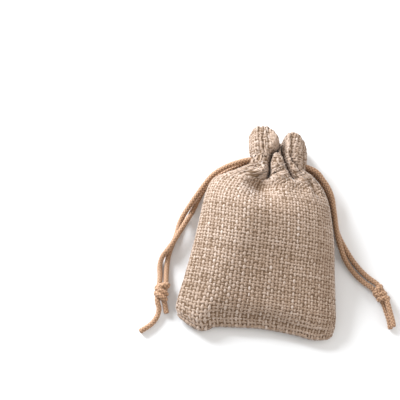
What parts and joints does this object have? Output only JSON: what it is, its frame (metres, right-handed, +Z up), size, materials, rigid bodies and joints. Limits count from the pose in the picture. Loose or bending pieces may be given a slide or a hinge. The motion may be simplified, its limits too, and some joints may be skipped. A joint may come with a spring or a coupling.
{
  "type": "burlap drawstring sack",
  "caption": "Small plump burlap sack with a gathered mouth, closed by braided drawcords that are knotted at each side, lying on its back.",
  "frame": {"origin": "middle of the cloth's box, on the surface that the sack lies on", "axes": "+Y from the bottom seam to the mouth, +X to the right seam seen from the front, +Z up out of the front of the sack as it lies on its back"},
  "size_m": [0.1112, 0.0965, 0.0246],
  "materials": {
    "burlap": "coarse plain weave of tan and brown yarns, matt",
    "drawcord": "smooth round braid, caramel, faint sheen"
  },
  "bodies": {
    "root": {"sack_cloth": "burlap", "left_cord_upper": "drawcord", "left_cord_lower": "drawcord", "right_cord_upper": "drawcord", "right_cord_lower": "drawcord", "left_knot": "drawcord", "right_knot": "drawcord", "left_tail_long": "drawcord", "left_tail_short": "drawcord", "right_tail_long": "drawcord", "right_tail_short": "drawcord"}
  },
  "joints": []
}
